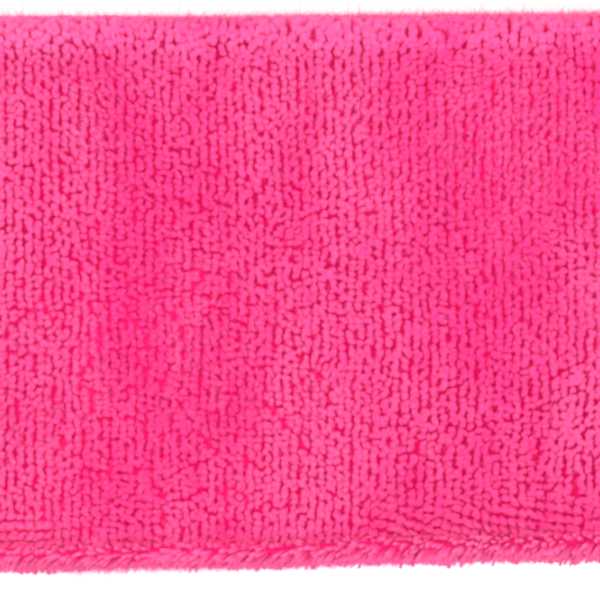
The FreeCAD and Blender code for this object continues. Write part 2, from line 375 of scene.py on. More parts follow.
def mix_colours(tree, share, low, high):
    """A colour between low and high, either of which may be a colour or a socket."""
    mix = tree.nodes.new("ShaderNodeMix")
    mix.data_type = "RGBA"
    tree.links.new(share, mix.inputs["Factor"])
    for socket, colour in ((mix.inputs[6], low), (mix.inputs[7], high)):
        if isinstance(colour, tuple):
            socket.default_value = (*colour, 1.0)
        else:
            tree.links.new(colour, socket)
    return mix.outputs[2]


def pile_colour(tree):
    """Hot pink in lighter and darker patches, with painted shade deeper at the loops' feet and painted
    sheen paler at the fold and the roll.
    """
    patches = object_noise(tree, 90, detail=5, roughness=0.7, tall=2.5)
    tips = colour_ramp(tree, patches.outputs["Fac"], [(0.40, PINK), (0.60, PALE_PINK)])
    rise = tree.nodes.new("ShaderNodeAttribute")
    rise.attribute_name = "rise"
    # painted shade: the pile's colour runs from a deeper pink at its feet to the tips' pinks
    to_tip = map_range(tree, rise.outputs["Fac"], 0.1, 0.9)
    tone_and_sheen_share = map_range(tree, rise.outputs["Fac"], 1.0, 2.0)  # what is above 1 is paleness: painted sheen at the fold and the roll, and some random tone
    upper = mix_colours(tree, to_tip, FOOT_SHADE_PINK, tips.outputs["Color"])
    return mix_colours(tree, tone_and_sheen_share, upper, SHEEN_PINK)


def map_range(tree, value, low, high, at_low=0.0, at_high=1.0):
    """at_low where a value is low or less, at_high where it is high or more, and even between."""
    node = tree.nodes.new("ShaderNodeMapRange")
    set_inputs(node, From_Min=low, From_Max=high, To_Min=at_low, To_Max=at_high)
    tree.links.new(value, node.inputs["Value"])
    return node.outputs["Result"]


def pile_material():
    """Brushed terry yarn: matt, with a soft pale sheen on its crowns and fine fibres, and a painted red
    glow towards its feet.
    """
    material, tree, shader = new_material("terry_pile")
    tree.links.new(pile_colour(tree), shader.inputs["Base Color"])
    rise = tree.nodes["Attribute"].outputs["Fac"]
    sheen = map_range(tree, rise, 0.5, 1.0, at_high=0.15)
    shine = map_range(tree, rise, 0.4, 1.0, at_high=0.2)
    # painted glow: an emission strongest at the loops' feet and weaker at their tips
    painted_glow = map_range(tree, rise, 0.1, 0.9, at_low=PAINTED_GLOW, at_high=0.5 * PAINTED_GLOW)
    tree.links.new(sheen, shader.inputs["Sheen Weight"])
    tree.links.new(shine, shader.inputs["Specular IOR Level"])
    tree.links.new(painted_glow, shader.inputs["Emission Strength"])
    set_inputs(shader, Emission_Color=(*PAINTED_GLOW_PINK, 1.0), Roughness=0.95)
    set_inputs(shader, Sheen_Roughness=0.4, Sheen_Tint=(1.0, 0.6, 0.78, 1.0))
    fibres = object_noise(tree, 9000, detail=2)
    add_bump(tree, shader, fibres.outputs["Fac"], 0.5, 0.05 * MM)
    return material


def fuzz_material():
    """Single fibres: the yarn's colour, paler for catching the light all round."""
    material, tree, shader = new_material("terry_fuzz")
    shade = object_noise(tree, 300, detail=2)
    colour_by(tree, shader, shade, (0.2, PALE_PINK), (0.5, SHEEN_PINK))
    set_inputs(shader, Roughness=0.8, Specular_IOR_Level=0.3)
    return material


def ground_material():
    """The knitted ground under the loops, seen only down the gaps between them, in darker pinks that
    paint the shade there.
    """
    material, tree, shader = new_material("terry_ground")
    shade = object_noise(tree, 1500, detail=2)
    colour_by(tree, shader, shade, (0.45, GROUND_SHADE_PINK), (0.95, FOOT_SHADE_PINK))
    set_inputs(shader, Roughness=1.0, Specular_IOR_Level=0.0)
    # painted glow down the gaps, as at the pile's feet
    set_inputs(shader, Emission_Color=(*PAINTED_GLOW_PINK, 1.0), Emission_Strength=PAINTED_GLOW)
    add_bump(tree, shader, shade.outputs["Fac"], 0.6, 0.1 * MM)
    return material


def thread_material(name, colour):
    """Twisted sewing thread: fine slanting bands of light and shade."""
    material, tree, shader = new_material(name)
    shade = object_noise(tree, 2500, detail=2)
    darker = tuple(0.75 * part for part in colour)
    colour_by(tree, shader, shade, (0.35, darker), (0.65, colour))
    set_inputs(shader, Roughness=0.55, Sheen_Weight=0.1)
    twist = bands(tree, 3500, (1, 1, 1))
    add_bump(tree, shader, twist, 0.5, 0.04 * MM)
    return material


def bands(tree, scale, direction):
    """Even bands square to a direction, with scale in bands per metre."""
    place = tree.nodes.new("ShaderNodeTexCoord")
    turned = tree.nodes.new("ShaderNodeVectorMath")
    turned.operation = "DOT_PRODUCT"
    turned.inputs[1].default_value = Vector(direction).normalized() * scale * math.tau
    tree.links.new(place.outputs["Object"], turned.inputs[0])
    wave = tree.nodes.new("ShaderNodeMath")
    wave.operation = "SINE"
    tree.links.new(turned.outputs["Value"], wave.inputs[0])
    return wave.outputs["Value"]


def woven_material(name, colours, threads, rough, sheen):
    """A plain weave: crossing bands upright and level, with threads counted per metre."""
    material, tree, shader = new_material(name)
    shade = object_noise(tree, 400, detail=4, roughness=0.6)
    dark, light = colours
    colour_by(tree, shader, shade, (0.35, dark), (0.65, light))
    set_inputs(shader, Roughness=rough, Sheen_Weight=sheen)
    weave = tree.nodes.new("ShaderNodeMath")
    weave.operation = "MULTIPLY"
    tree.links.new(bands(tree, threads, (1, 0.3, 0)), weave.inputs[0])
    tree.links.new(bands(tree, threads, (0, 0, 1)), weave.inputs[1])
    add_bump(tree, shader, weave.outputs["Value"], 0.4, 0.04 * MM)
    return material


def rubber_material():
    """Natural rubber cord, cream and slightly dusty."""
    material, tree, shader = new_material("rubber_cord")
    dust = object_noise(tree, 900, detail=5)
    dark, light = RUBBER_CREAMS
    colour_by(tree, shader, dust, (0.4, dark), (0.7, light))
    set_inputs(shader, Roughness=0.75)
    add_bump(tree, shader, dust.outputs["Fac"], 0.3, 0.03 * MM)
    return material


# ---- The terry loops ----

COLUMNS_A_SIDE = 209  # knitted columns from the middle of the front to the back seam
ROW_PITCH = 0.33 * MM
LOOP_SIDES = 4
LOOP_ANGLES = np.radians([-50, 50])  # where the round top's two rings are, from the crown
LOOP_RINGS = len(LOOP_ANGLES) + 2
CROWN = 0.42  # the share of a loop's height that its round top takes up
FOOT = 0.6  # spread of a loop's feet, as a share of its reach
BULGE = 1.05  # the same for its round top
BOW = 0.35  # how much a leaning loop comes down
FRAY = 0.18  # how unevenly thick the yarn is
YARN = 0.265 * MM  # radius of the yarn
LOOP_REACH = 0.18 * MM  # half the distance between a loop's two legs, yarn middle to middle

RIDGE = 0.85 * MM  # spacing of the small ridges above the hem
RIDGE_SLOPE = 0.18  # how fast the ridges climb towards +X
RIDGE_DRAW = 0.6  # how much of the way to the nearest ridge a gathered loop is drawn
RIDGED_FRONT = ((2 * MM, 9 * MM, 26 * MM, 32 * MM), (-50 * MM, -40 * MM, -26 * MM, -20 * MM))
RIDGED_ENDS = (70 * MM, 85 * MM, 120 * MM, 135 * MM)
RIDGED_HEIGHTS = (2.2 * MM, 3.0 * MM, 5.0 * MM, 8.5 * MM)
RIDGE_DEPTH = 1.45  # how much lower a loop is for each millimetre away from its ridge

CLUMP = 3.0 * MM  # size of the clumps that brushing draws the loops into
CLUMP_DRAW = 0.155  # how far the loops lean to the middle of their clump, as a share of the way
FRINGE = 0.25 * MM  # how far the loops under the hem hang down
FRINGE_REACH = 1.3 * MM
DIPS = ((CREASE, 0.45 * MM), (HEM_GROOVE, 0.15 * MM))  # middles and widths of the low lines
DIP_DEPTH = 0.3
SEAM_DIP = 0.6

# Uneven places and shapes: the spread of each smooth noise, and how many loops up the section and
# along the girth it reaches.
STRAY_ALONG = (0.12 * MM, 18, 5)
STRAY_UP = ((0.20 * MM, 14, 0.8), (0.25 * MM, 24, 14))
RIDGE_WANDER = ((0.4 * RIDGE, 14, 8), (0.20 * RIDGE, 6, 4))
LEAN_ALONG = ((0.16 * MM, 20, 8), (0.12 * MM, 4, 2))
LEAN_UP = ((0.30 * MM, 32, 12), (0.14 * MM, 5, 2))
CLUMP_WARP = (1.3 * MM, 8, 3)
CLUMPED = (0.8, 26, 10)
HEIGHTS = ((0.07 * MM, 6, 3), (0.12 * MM, 40, 12), (0.05 * MM, 60, 0.6))


def uneven(rng, shape, *terms):
    """Smooth noises added up."""
    return sum(size * smooth_noise(rng, shape, reach) for size, *reach in terms)


def columns():
    """The girth of every knitted column."""
    return ((np.arange(2 * COLUMNS_A_SIDE) + 0.5) / COLUMNS_A_SIDE - 1) * band.half_girth


def pile_grid(rng):
    """Every loop's place (girth, and distance up the section) and its way to the nearest ridge."""
    girth, along = np.meshgrid(columns(), section.rows(ROW_PITCH))
    shape = girth.shape
    gathered = gather_zone(girth, along)
    steady = 1 - 0.7 * gathered
    pair = np.where(np.arange(shape[0]) % 2, -1.0, 1.0)[:, None]
    stray = 0.125 * MM + 0.1 * MM * fold_share(along) + 0.5 * MM * roll_share(along)
    girth += stray * rng.standard_normal(shape)
    girth += uneven(rng, shape, STRAY_ALONG)
    along += 0.11 * MM * pair * steady + 0.11 * MM * steady * rng.standard_normal(shape)
    along += steady * uneven(rng, shape, STRAY_UP[0])
    along += uneven(rng, shape, STRAY_UP[1])
    ridge = gathered * to_ridge(rng, girth, along)
    return girth, along + RIDGE_DRAW * ridge, ridge


def to_ridge(rng, girth, along):
    """The way up or down to the middle of the nearest of the small ridges above the hem."""
    wander = uneven(rng, girth.shape, *RIDGE_WANDER)
    place = (along + RIDGE_SLOPE * np.maximum(girth, 0) + wander) / RIDGE
    return (0.5 - (place - np.floor(place))) * RIDGE


def from_hem(along):
    """Distance up the section from under the hem, positive outside and negative inside."""
    return (along + section.length / 2) % section.length - section.length / 2


def gather_zone(girth, along):
    """1 where the stitching gathers the cloth above the hem into ridges, 0 elsewhere."""
    front = sum(hill(girth, *reach) for reach in RIDGED_FRONT)
    ends = hill(np.abs(girth), *RIDGED_ENDS)
    return (front + ends) * hill(height_of(along), *RIDGED_HEIGHTS)


def cell_pull(rng, girth, along, size):
    """The way from each loop to the middle of its clump, clumps being about size across."""
    tall = max(int(round(section.length / size)), 1)
    wide = max(int(round(2 * band.half_girth / size)), 1)
    v = along / section.length * tall
    u = (girth / band.half_girth + 1) / 2 * wide
    jitter = rng.random((tall, wide, 2))
    best = np.full(girth.shape, 1e9)
    pull = np.zeros(girth.shape + (2,))
    for dv in (-1, 0, 1):
        for du in (-1, 0, 1):
            cell_v = np.floor(v).astype(int) + dv
            cell_u = np.floor(u).astype(int) + du
            spot = jitter[cell_v % tall, cell_u % wide]
            way_v = cell_v + spot[..., 0] - v
            way_u = cell_u + spot[..., 1] - u
            reach = way_v**2 + way_u**2
            nearer = reach < best
            best = np.where(nearer, reach, best)
            pull[..., 0] = np.where(nearer, way_u, pull[..., 0])
            pull[..., 1] = np.where(nearer, way_v, pull[..., 1])
    return pull * size


def height_of(along):
    """Height of the ground cloth at a distance along the section."""
    return section.at(along)[0][..., 1]


def roll_share(along):
    """1 on the roll below the crease, 0 above it."""
    return 1 - smoothstep((height_of(along) - CREASE + 0.9 * MM) / (0.8 * MM))


def fold_share(along):
    """1 on the fold along the top edge, 0 below it."""
    return smoothstep((height_of(along) - band.height + 5.0 * MM) / (3.2 * MM))


class Loops:
    """What a loop's place asks of its shape, for every loop in the grid."""

    def __init__(self, girth, along, ridge):
        self.girth, self.along, self.ridge = girth, along, ridge
        self.shape = girth.shape
        self.high = height_of(along)
        self.outside = np.sign(from_hem(along))
        self.roll = roll_share(along)
        self.fold = fold_share(along)
        self.gathered = gather_zone(girth, along)
        self.calm = 1 - 0.6 * self.fold - 0.6 * self.gathered - 0.75 * self.roll


def pile_shape(rng, loops):
    """Each loop's lean (along the girth and up the section), height, turn, reach, yarn and paleness, the
    last being painted sheen at the fold and roll and some random tone.
    """
    lean, clumped = pile_lean(rng, loops)
    height = pile_height(rng, loops)
    comb_over(rng, loops, lean)
    turn = pile_turn(rng, loops, clumped)
    spread = rng.standard_normal(loops.shape)
    reach = LOOP_REACH * (1 + 0.8 * loops.gathered - 0.7 * loops.roll + 0.25 * spread)
    yarn = YARN * (1 + 0.12 * rng.standard_normal(loops.shape))
    yarn *= 1 - 0.5 * loops.roll - 0.1 * loops.gathered + 0.16 * loops.fold
    # painted sheen: the fold and the roll are painted paler, as light catches them edge-on and from the
    # floor below; the random part is the yarn's own tone
    tone_and_sheen = 0.24 * loops.fold + 0.62 * loops.roll + 0.08 * np.abs(rng.standard_normal(loops.shape))
    return lean, height, turn, reach, yarn, tone_and_sheen


def pile_lean(rng, loops):
    """How far the loops lean each way, and how much they lean together into clumps."""
    shape = loops.shape
    lean_along = uneven(rng, shape, *LEAN_ALONG)
    lean_up = uneven(rng, shape, *LEAN_UP)
    lean = np.stack([lean_along, lean_up], -1)
    lean += 0.11 * MM * rng.standard_normal(shape + (2,))
    warp_along = uneven(rng, shape, CLUMP_WARP)
    warp_up = uneven(rng, shape, CLUMP_WARP)
    clumped = np.clip(uneven(rng, shape, CLUMPED) + 0.2, 0, 1.3)
    pull = cell_pull(rng, loops.girth + warp_along, loops.along + warp_up, CLUMP)
    lean += CLUMP_DRAW * clumped[..., None] * pull
    return lean * loops.calm[..., None], clumped


def pile_height(rng, loops):
    """Heights of the loops' crowns: raised at the fold and hem, low in the creases and at the seam."""
    shape = loops.shape
    height = PILE - YARN + uneven(rng, shape, *HEIGHTS)
    height += 0.07 * MM * loops.calm * rng.standard_normal(shape)
    height += 0.22 * MM * loops.fold + 0.35 * MM * loops.roll
    hanging = np.abs(rng.standard_normal(shape) + uneven(rng, shape, (1, 4, 4)))
    height += FRINGE * dip(from_hem(loops.along), FRINGE_REACH) * hanging
    height -= RIDGE_DEPTH * np.abs(loops.ridge)
    for middle, width in DIPS:
        away = loops.high - middle - uneven(rng, shape, (0.2 * MM, 8, 10))
        strength = np.clip(1 + uneven(rng, shape, (0.4, 6, 8)), 0.2, 1.5)
        height *= 1 - DIP_DEPTH * dip(away, width) * strength
    return height * (1 - SEAM_DIP * dip(band.half_girth - np.abs(loops.girth), 1.0 * MM))


def comb_over(rng, loops, lean):
    """Leans the loops aside and down on the roll, and down over the crease above it."""
    shape = loops.shape
    lean[..., 0] -= loops.roll * (1.1 * MM + uneven(rng, shape, (0.2 * MM, 4, 6)))
    lean[..., 1] -= 0.45 * MM * dip(loops.high - CREASE, 0.7 * MM) * loops.outside
    down = 0.45 * MM + uneven(rng, shape, (0.15 * MM, 4, 6))
    lean[..., 1] -= loops.roll**3 * loops.outside * down


def pile_turn(rng, loops, clumped):
    """Angle of each loop's plane: along the columns, and along the girth where it is gathered."""
    shape = loops.shape
    steady = math.pi / 2 * (1 - np.clip(loops.gathered, 0, 1))
    turn = steady + loops.calm * 0.6 * rng.standard_normal(shape)
    swirl = uneven(rng, shape, (0.6, 16, 7))
    swirl += 0.9 * clumped * uneven(rng, shape, (1, 6, 3))
    return turn + loops.calm * swirl


def loop_rings(rng, lean, height, turn, reach, yarn):
    """Each loop's surface, as rings of points round the middle of its yarn, and the points' rise.

    An arch stands on the ground, bulges above its legs and leans over. Its points are offsets in the
    cloth's own directions: along the girth, up the section and out of the cloth.
    """
    foot = np.stack([FOOT * reach, 0 * reach, 0 * reach], -1)
    arch = [-foot]
    for angle in LOOP_ANGLES:
        high = height - CROWN * height * (1 - math.cos(angle))
        arch.append(np.stack([BULGE * reach * math.sin(angle), 0 * reach, high], -1))
    arch = np.stack(arch + [foot], 1)
    raised = np.clip(arch[..., 2] / height[:, None], 0, 1) ** 1.3
    flat_along = arch[..., 0] * np.cos(turn)[:, None] + lean[:, None, 0] * raised
    flat_up = arch[..., 0] * np.sin(turn)[:, None] + lean[:, None, 1] * raised
    bend = np.hypot(lean[:, 0], lean[:, 1])[:, None]
    out = arch[..., 2] - BOW * bend**2 / height[:, None] * raised
    line = np.stack([flat_along, flat_up, out], -1)
    frayed = 1 + FRAY * rng.standard_normal(line.shape[:2] + (LOOP_SIDES,))
    rings = tube_round(line, yarn, frayed)
    return rings, np.clip(rings[..., 2] / (out.max(axis=1) + yarn)[:, None, None], 0, 1)


def tube_round(line, radius, frayed):
    """Rings of points round each of many lines, given as (line, point, direction)."""
    ahead = np.gradient(line, axis=1)
    ahead /= np.linalg.norm(ahead, axis=2, keepdims=True)
    across = np.cross(ahead, np.broadcast_to(sideways(line), ahead.shape))
    across /= np.linalg.norm(across, axis=2, keepdims=True)
    other = np.cross(ahead, across)
    angle = np.arange(LOOP_SIDES) / LOOP_SIDES * math.tau
    ring = (
        across[:, :, None, :] * np.cos(angle)[None, None, :, None]
        + other[:, :, None, :] * np.sin(angle)[None, None, :, None]
    )
    return line[:, :, None, :] + (radius[:, None, None] * frayed)[..., None] * ring


def sideways(line):
    """The level direction square to each loop's own plane."""
    span = line[:, -1] - line[:, 0]
    flat = np.stack([-span[:, 1], span[:, 0], np.zeros(len(span))], -1)
    return (flat / np.linalg.norm(flat, axis=1, keepdims=True))[:, None, :]


def put_on_cloth(girth, along, offsets):
    """Offsets in the cloth's own directions, moved to their loop's place on the band."""
    spot, ahead, outward = section.at(along)
    middle = band.place(girth, spot[:, 0], spot[:, 1])
    _, out_track, travel = band.track(girth)
    zero = np.zeros(len(girth))
    to_girth = np.stack([travel[:, 0], travel[:, 1], zero], -1)
    to_along, to_out = [
        np.stack([out_track[:, 0] * way[:, 0], out_track[:, 1] * way[:, 0], way[:, 1]], -1)
        for way in (ahead, outward)
    ]
    expand = (slice(None), None, None, slice(None))
    return (
        middle[expand]
        + offsets[..., 0:1] * to_girth[expand]
        + offsets[..., 1:2] * to_along[expand]
        + offsets[..., 2:3] * to_out[expand]
    )


HEM_STRIP = 0.085  # where the hem's strip ends and the fold's begins, as shares of the section
FOLD_STRIP = 0.455


def strips():
    """The strips of the section that the pile is made in, as ranges of the distance along it."""
    whole = section.length
    hem, fold = HEM_STRIP * whole, FOLD_STRIP * whole
    return {
        "hem": [(0, hem), (whole - hem, whole)],
        "outer": [(hem, fold)],
        "fold": [(fold, whole - fold)],
        "inner": [(whole - fold, whole - hem)],
    }


def spans():
    """The pieces that half of a strip is made in, as ranges of the girth."""
    bend = math.pi * band.end_radius / 3
    edges = [0] + [band.half_straight + number * bend for number in range(4)] + [band.half_girth]
    names = ["front", "front_bend", "end", "back_bend", "back"]
    return dict(zip(names, zip(edges[:-1], edges[1:])))


def seen_first(strip, span):
    """Whether a piece of the pile is made: always, while the test after True or picks the pieces that
    show in the front view.
    """
    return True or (strip != "inner" and span == "front")


def loops_piece(name, points, rise, material):
    """One piece made of many loops, from their rings of points."""
    faces = tube_faces(len(points), LOOP_RINGS, LOOP_SIDES)
    return new_mesh(name, points, faces, material, rise=rise)


def make_pile(material):
    """The terry loops, in pieces."""
    rng = np.random.default_rng(SEED)
    girth, along, ridge = pile_grid(rng)
    *shapes, tone_and_sheen = pile_shape(rng, Loops(girth, along, ridge))
    column = np.broadcast_to(columns(), girth.shape)
    along = along % section.length
    made = []
    for strip, ranges in strips().items():
        within = np.logical_or.reduce([(along >= low) & (along < high) for low, high in ranges])
        for span, (near, far) in spans().items():
            if not seen_first(strip, span):
                continue
            for side, sign in SIDES.items():
                pick = within & (sign * column > near) & (sign * column <= far)
                rings, rise = loop_rings(rng, *[field[pick] for field in shapes])
                points = put_on_cloth(girth[pick], along[pick], rings)
                rise += tone_and_sheen[pick][:, None, None]
                piece = loops_piece(f"terry_pile_{side}_{strip}_{span}", points, rise, material)
                made.append((piece, side))
    return made


# Loose fibres for each square millimetre of the faces, the fold and the hem.
FUZZ_ON_FACES = 2.5
FUZZ_AT_FOLD = 70.0
FUZZ_AT_HEM = 50.0
HEM_FUZZ = 1.1 * MM  # how far from the middle of the hem and of the fold those densities reach
FOLD_FUZZ = 0.9 * MM
FUZZ_START = (0.6, 0.95)  # where the fibres leave the pile, as shares of its height
FUZZ_COMBED = 1.5  # how far aside the fibres under the hem are combed
FUZZ_WIDTH = 0.055 * MM
FUZZ_LENGTH = 0.7 * MM  # on average; a gamma distribution of FUZZ_SHAPE spreads it
FUZZ_SHAPE = 5.0
FIBRE_FACES = np.array([(0, 2, 1), (0, 1, 3), (1, 2, 3), (2, 0, 3)])


def make_fuzz(material):
    """Fine loose fibres standing out of the pile, each a slender closed spike."""
    rng = np.random.default_rng(SEED + 1)
    half = section.length / 2
    places = {
        "hem": (-HEM_FUZZ, HEM_FUZZ, FUZZ_AT_HEM),
        "outer": (HEM_FUZZ, half - FOLD_FUZZ, FUZZ_ON_FACES),
        "fold": (half - FOLD_FUZZ, half + FOLD_FUZZ, FUZZ_AT_FOLD),
        "inner": (half + FOLD_FUZZ, 2 * half - HEM_FUZZ, FUZZ_ON_FACES),
    }
    made = []
    for place, (low, high, density) in places.items():
        for side, sign in SIDES.items():
            count = int(band.half_girth * (high - low) / MM**2 * density)
            girth = sign * rng.uniform(0, band.half_girth, count)
            points = fuzz_points(rng, girth, rng.uniform(low, high, count))
            faces = (FIBRE_FACES + 4 * np.arange(count)[:, None, None]).reshape(-1, 3)
            made.append((new_mesh(f"terry_fuzz_{side}_{place}", points, faces, material), side))
    return made


def fuzz_points(rng, girth, along):
    """The four corners of each fibre: a small foot among the loops' crowns, and a far tip.

    Under the hem the fibres are combed the same way as the loops and bend up from the floor.
    """
    count = len(girth)
    roll = roll_share(along)
    start = PILE * (rng.uniform(*FUZZ_START, count) - 0.3 * roll) + 0.1 * MM * fold_share(along)
    root = np.stack([np.zeros(count), np.zeros(count), start], -1)
    way = rng.standard_normal((count, 3)) * [1.0, 1.0, 0.5]
    way[:, 2] = np.abs(way[:, 2]) + 0.35 + 0.4 * roll
    way[:, 0] -= FUZZ_COMBED * roll * rng.random(count)
    way /= np.linalg.norm(way, axis=1, keepdims=True)
    length = rng.gamma(FUZZ_SHAPE, FUZZ_LENGTH / FUZZ_SHAPE, count) * (1 + 0.6 * roll)
    tip = root + way * length[:, None]
    across = np.cross(way, rng.standard_normal((count, 3)))
    across /= np.linalg.norm(across, axis=1, keepdims=True)
    other = np.cross(way, across)
    corners = []
    for angle in (0, math.tau / 3, 2 * math.tau / 3):
        turned = across * math.cos(angle) + other * math.sin(angle)
        corners.append(root + FUZZ_WIDTH / 2 * turned)
    offsets = np.stack(corners + [tip], 1)
    points = put_on_cloth(girth, along, offsets[:, :, None, :])[:, :, 0, :]
    points[..., 2] = np.maximum(points[..., 2], 0)
    return points


GROUND_AROUND = 160  # points of the ground's mesh round the section and along each half
GROUND_ALONG = 260


def make_ground(material):
    """The knitted ground cloth, one smooth tube for each half of the band."""
    made = []
    along = np.arange(GROUND_AROUND) / GROUND_AROUND * section.length
    for side, sign in SIDES.items():
        girth = sign * np.linspace(0, band.half_girth, GROUND_ALONG)
        grid_girth, grid_along = np.meshgrid(girth, along, indexing="ij")
        spot, _, _ = section.at(grid_along)
        points = band.place(grid_girth, spot[..., 0], spot[..., 1])
        faces = tube_faces(1, len(girth), GROUND_AROUND)
        if sign > 0:
            faces = faces[:, ::-1]
        made.append((new_mesh(f"terry_ground_{side}", points, faces, material), side))
    return made


def carry(piece, side, layer):
    """A piece of one half of the band, stretched between the middle and that half's end.

    It stands for the CAD nodes of that layer in its half.
    """
    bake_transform(piece)
    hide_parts(*[f"{run}_{layer}" for run in ("front", side, f"back_{side}")])


def fixed(piece, body, slot, *nodes):
    """A piece that rides on one body and stands for some CAD nodes."""
    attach(piece, body)
    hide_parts(*nodes)


# ---- Threads, the elastic web, the back seam and the label ----

STITCH = 2.5 * MM  # length of a stitch
THREAD = 0.15 * MM  # radius of the sewing thread
HEM_THREADS_OUT = 1.15 * MM  # the hem's threads' distance from the middle of the band
HEM_STITCH_SINK = 0.22 * MM  # how deep they dip between stitches
ALLOWANCE_PILE = 0.55 * MM  # room for the pile on the pressed seam allowances
ALLOWANCE_COLUMN = 0.9 * MM
ALLOWANCE_STRAY = 0.12 * MM
OVERLOCK_PITCH = 2.2 * MM
OVERLOCK_BITE = 2.6 * MM  # how far in from the raw edge the overlock stitches reach
RIBBON = 0.12 * MM  # thickness of the label's ribbon
RIBBON_WAVE = 0.25 * MM
CORDS = 12
WEB_GROOVE = 0.4  # depth of the web's grooves between the cords, as a share of its half thickness
WEB_ALONG = 100  # points of the web's mesh along each half


def cord(path, radius, reference, sides=8):
    """The points of a round cord along a path, closed to a blunt tip at both ends."""
    ahead = np.gradient(path, axis=0)
    ahead /= np.linalg.norm(ahead, axis=1, keepdims=True)
    across = np.cross(ahead, reference)
    across /= np.linalg.norm(across, axis=1, keepdims=True)
    other = np.cross(ahead, across)
    width = radius * np.ones(len(path))
    width[[0, -1]] *= 0.1
    angle = np.arange(sides) / sides * math.tau
    ring = across[:, None, :] * np.cos(angle)[:, None] + other[:, None, :] * np.sin(angle)[:, None]
    return path[:, None, :] + width[:, None, None] * ring


def cord_piece(name, paths, radius, reference, material, sides=8):
    """One piece made of cords along paths that all have the same number of points."""
    points = np.array([cord(path, radius, reference, sides) for path in paths])
    faces = tube_faces(len(points), points.shape[1], sides)
    return new_mesh(name, points, faces, material)


def make_hem_stitching(material):
    """A needle thread outside and a bobbin thread inside, sunk in the crease above the roll."""
    girth = np.arange(0, band.half_girth, STITCH / 8)
    sunk = HEM_STITCH_SINK * dip((girth / STITCH) % 1 - 0.5, 0.14)
    for layer, face in (("needle", 1), ("bobbin", -1)):
        for side, sign in SIDES.items():
            across = face * (HEM_THREADS_OUT - sunk)
            path = band.place(sign * girth, across, CREASE)
            piece = cord_piece(f"hem_{layer}_thread_{side}", [path], THREAD, (0, 0, 1), material)
            carry(piece, side, f"hem_{layer}_thread")


def make_elastic(webbing, rubber):
    """The woven elastic web inside the band, ribbed over its rubber cords, and the cords."""
    low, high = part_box("front_elastic_web")
    cord_low, cord_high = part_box("front_rubber_cords")
    radius = (cord_high.y - cord_low.y) / 2
    levels = np.linspace(cord_low.z + radius, cord_high.z - radius, CORDS)
    pitch = levels[1] - levels[0]
    half = (high.y - low.y) / 2
    up = np.linspace(low.z, high.z, 8 * CORDS + 1)
    groove = 0.5 - 0.5 * np.cos((up - levels[0]) / pitch * math.tau)
    rib = half * (1 - WEB_GROOVE * groove)
    rib[[0, -1]] *= 0.5
    outline = np.concatenate([np.stack([rib, up], -1), np.stack([-rib, up], -1)[::-1]])
    girth = np.linspace(0, band.half_girth - 0.5 * MM, WEB_ALONG)
    for side, sign in SIDES.items():
        points = band.place(sign * girth[:, None], outline[None, :, 0], outline[None, :, 1])
        faces = tube_faces(1, len(girth), len(outline))[:, ::-sign]
        piece = new_mesh(f"elastic_web_{side}", points, faces, webbing)
        carry(piece, side, "elastic_web")
        paths = [band.place(sign * girth, 0 * girth, level + 0 * girth) for level in levels]
        piece = cord_piece(f"rubber_cords_{side}", paths, 0.9 * radius, (0, 0, 1), rubber, sides=6)
        carry(piece, side, "rubber_cords")


def make_seam_allowance(side, sign, pile, ground):
    """A flap of terry pressed flat beside the back seam, with pile on the face that shows."""
    low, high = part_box(f"seam_allowance_{side}")
    face = low.y + ALLOWANCE_PILE
    slab = allowance_slab(side, low, high, face, ground)
    rng = np.random.default_rng(SEED + 2 + sign)
    loops = allowance_loops(rng, side, low, high, face, pile)
    for piece in (slab, loops):
        fixed(piece, "centre", "terry", f"seam_allowance_{side}")


def allowance_slab(side, low, high, face, material):
    """The flap's cloth, behind its face: an upright bar with a squared oval section."""
    middle = (low.x + high.x) / 2, (face + high.y) / 2
    half = (high.x - low.x) / 2, (high.y - face) / 2
    angle = np.linspace(0, math.tau, 24, endpoint=False)
    squared = [np.sign(wave) * np.abs(wave) ** 0.35 for wave in (np.cos(angle), np.sin(angle))]
    up = np.linspace(low.z, high.z, 60)
    x = middle[0] + half[0] * squared[0]
    y = middle[1] + half[1] * squared[1]
    points = points_at(x, y, up[:, None])
    points[[0, -1], :, 1] = middle[1]
    faces = tube_faces(1, len(up), len(angle))
    return new_mesh(f"seam_allowance_ground_{side}", points, faces, material)


def allowance_loops(rng, side, low, high, face, material):
    """The flap's pile: short loops standing towards the wearer."""
    across = np.arange(low.x + 0.4 * MM, high.x - 0.2 * MM, ALLOWANCE_COLUMN)
    x, z = np.meshgrid(across, np.arange(low.z + 0.3 * MM, high.z, ROW_PITCH))
    x = (x + ALLOWANCE_STRAY * rng.standard_normal(x.shape)).ravel()
    z = (z + ALLOWANCE_STRAY * rng.standard_normal(z.shape)).ravel()
    count = len(x)
    lean = 0.15 * MM * rng.standard_normal((count, 2))
    height = 0.5 * MM + 0.06 * MM * rng.standard_normal(count)
    turn = math.pi / 2 + 0.7 * rng.standard_normal(count)
    reach = np.full(count, LOOP_REACH)
    yarn = np.full(count, 0.85 * YARN)
    rings, rise = loop_rings(rng, lean, height, turn, reach, yarn)
    x = x[:, None, None] + rings[..., 0]
    z = z[:, None, None] + rings[..., 1]
    points = points_at(x, face - rings[..., 2], z)
    return loops_piece(f"seam_allowance_pile_{side}", points, rise, material)


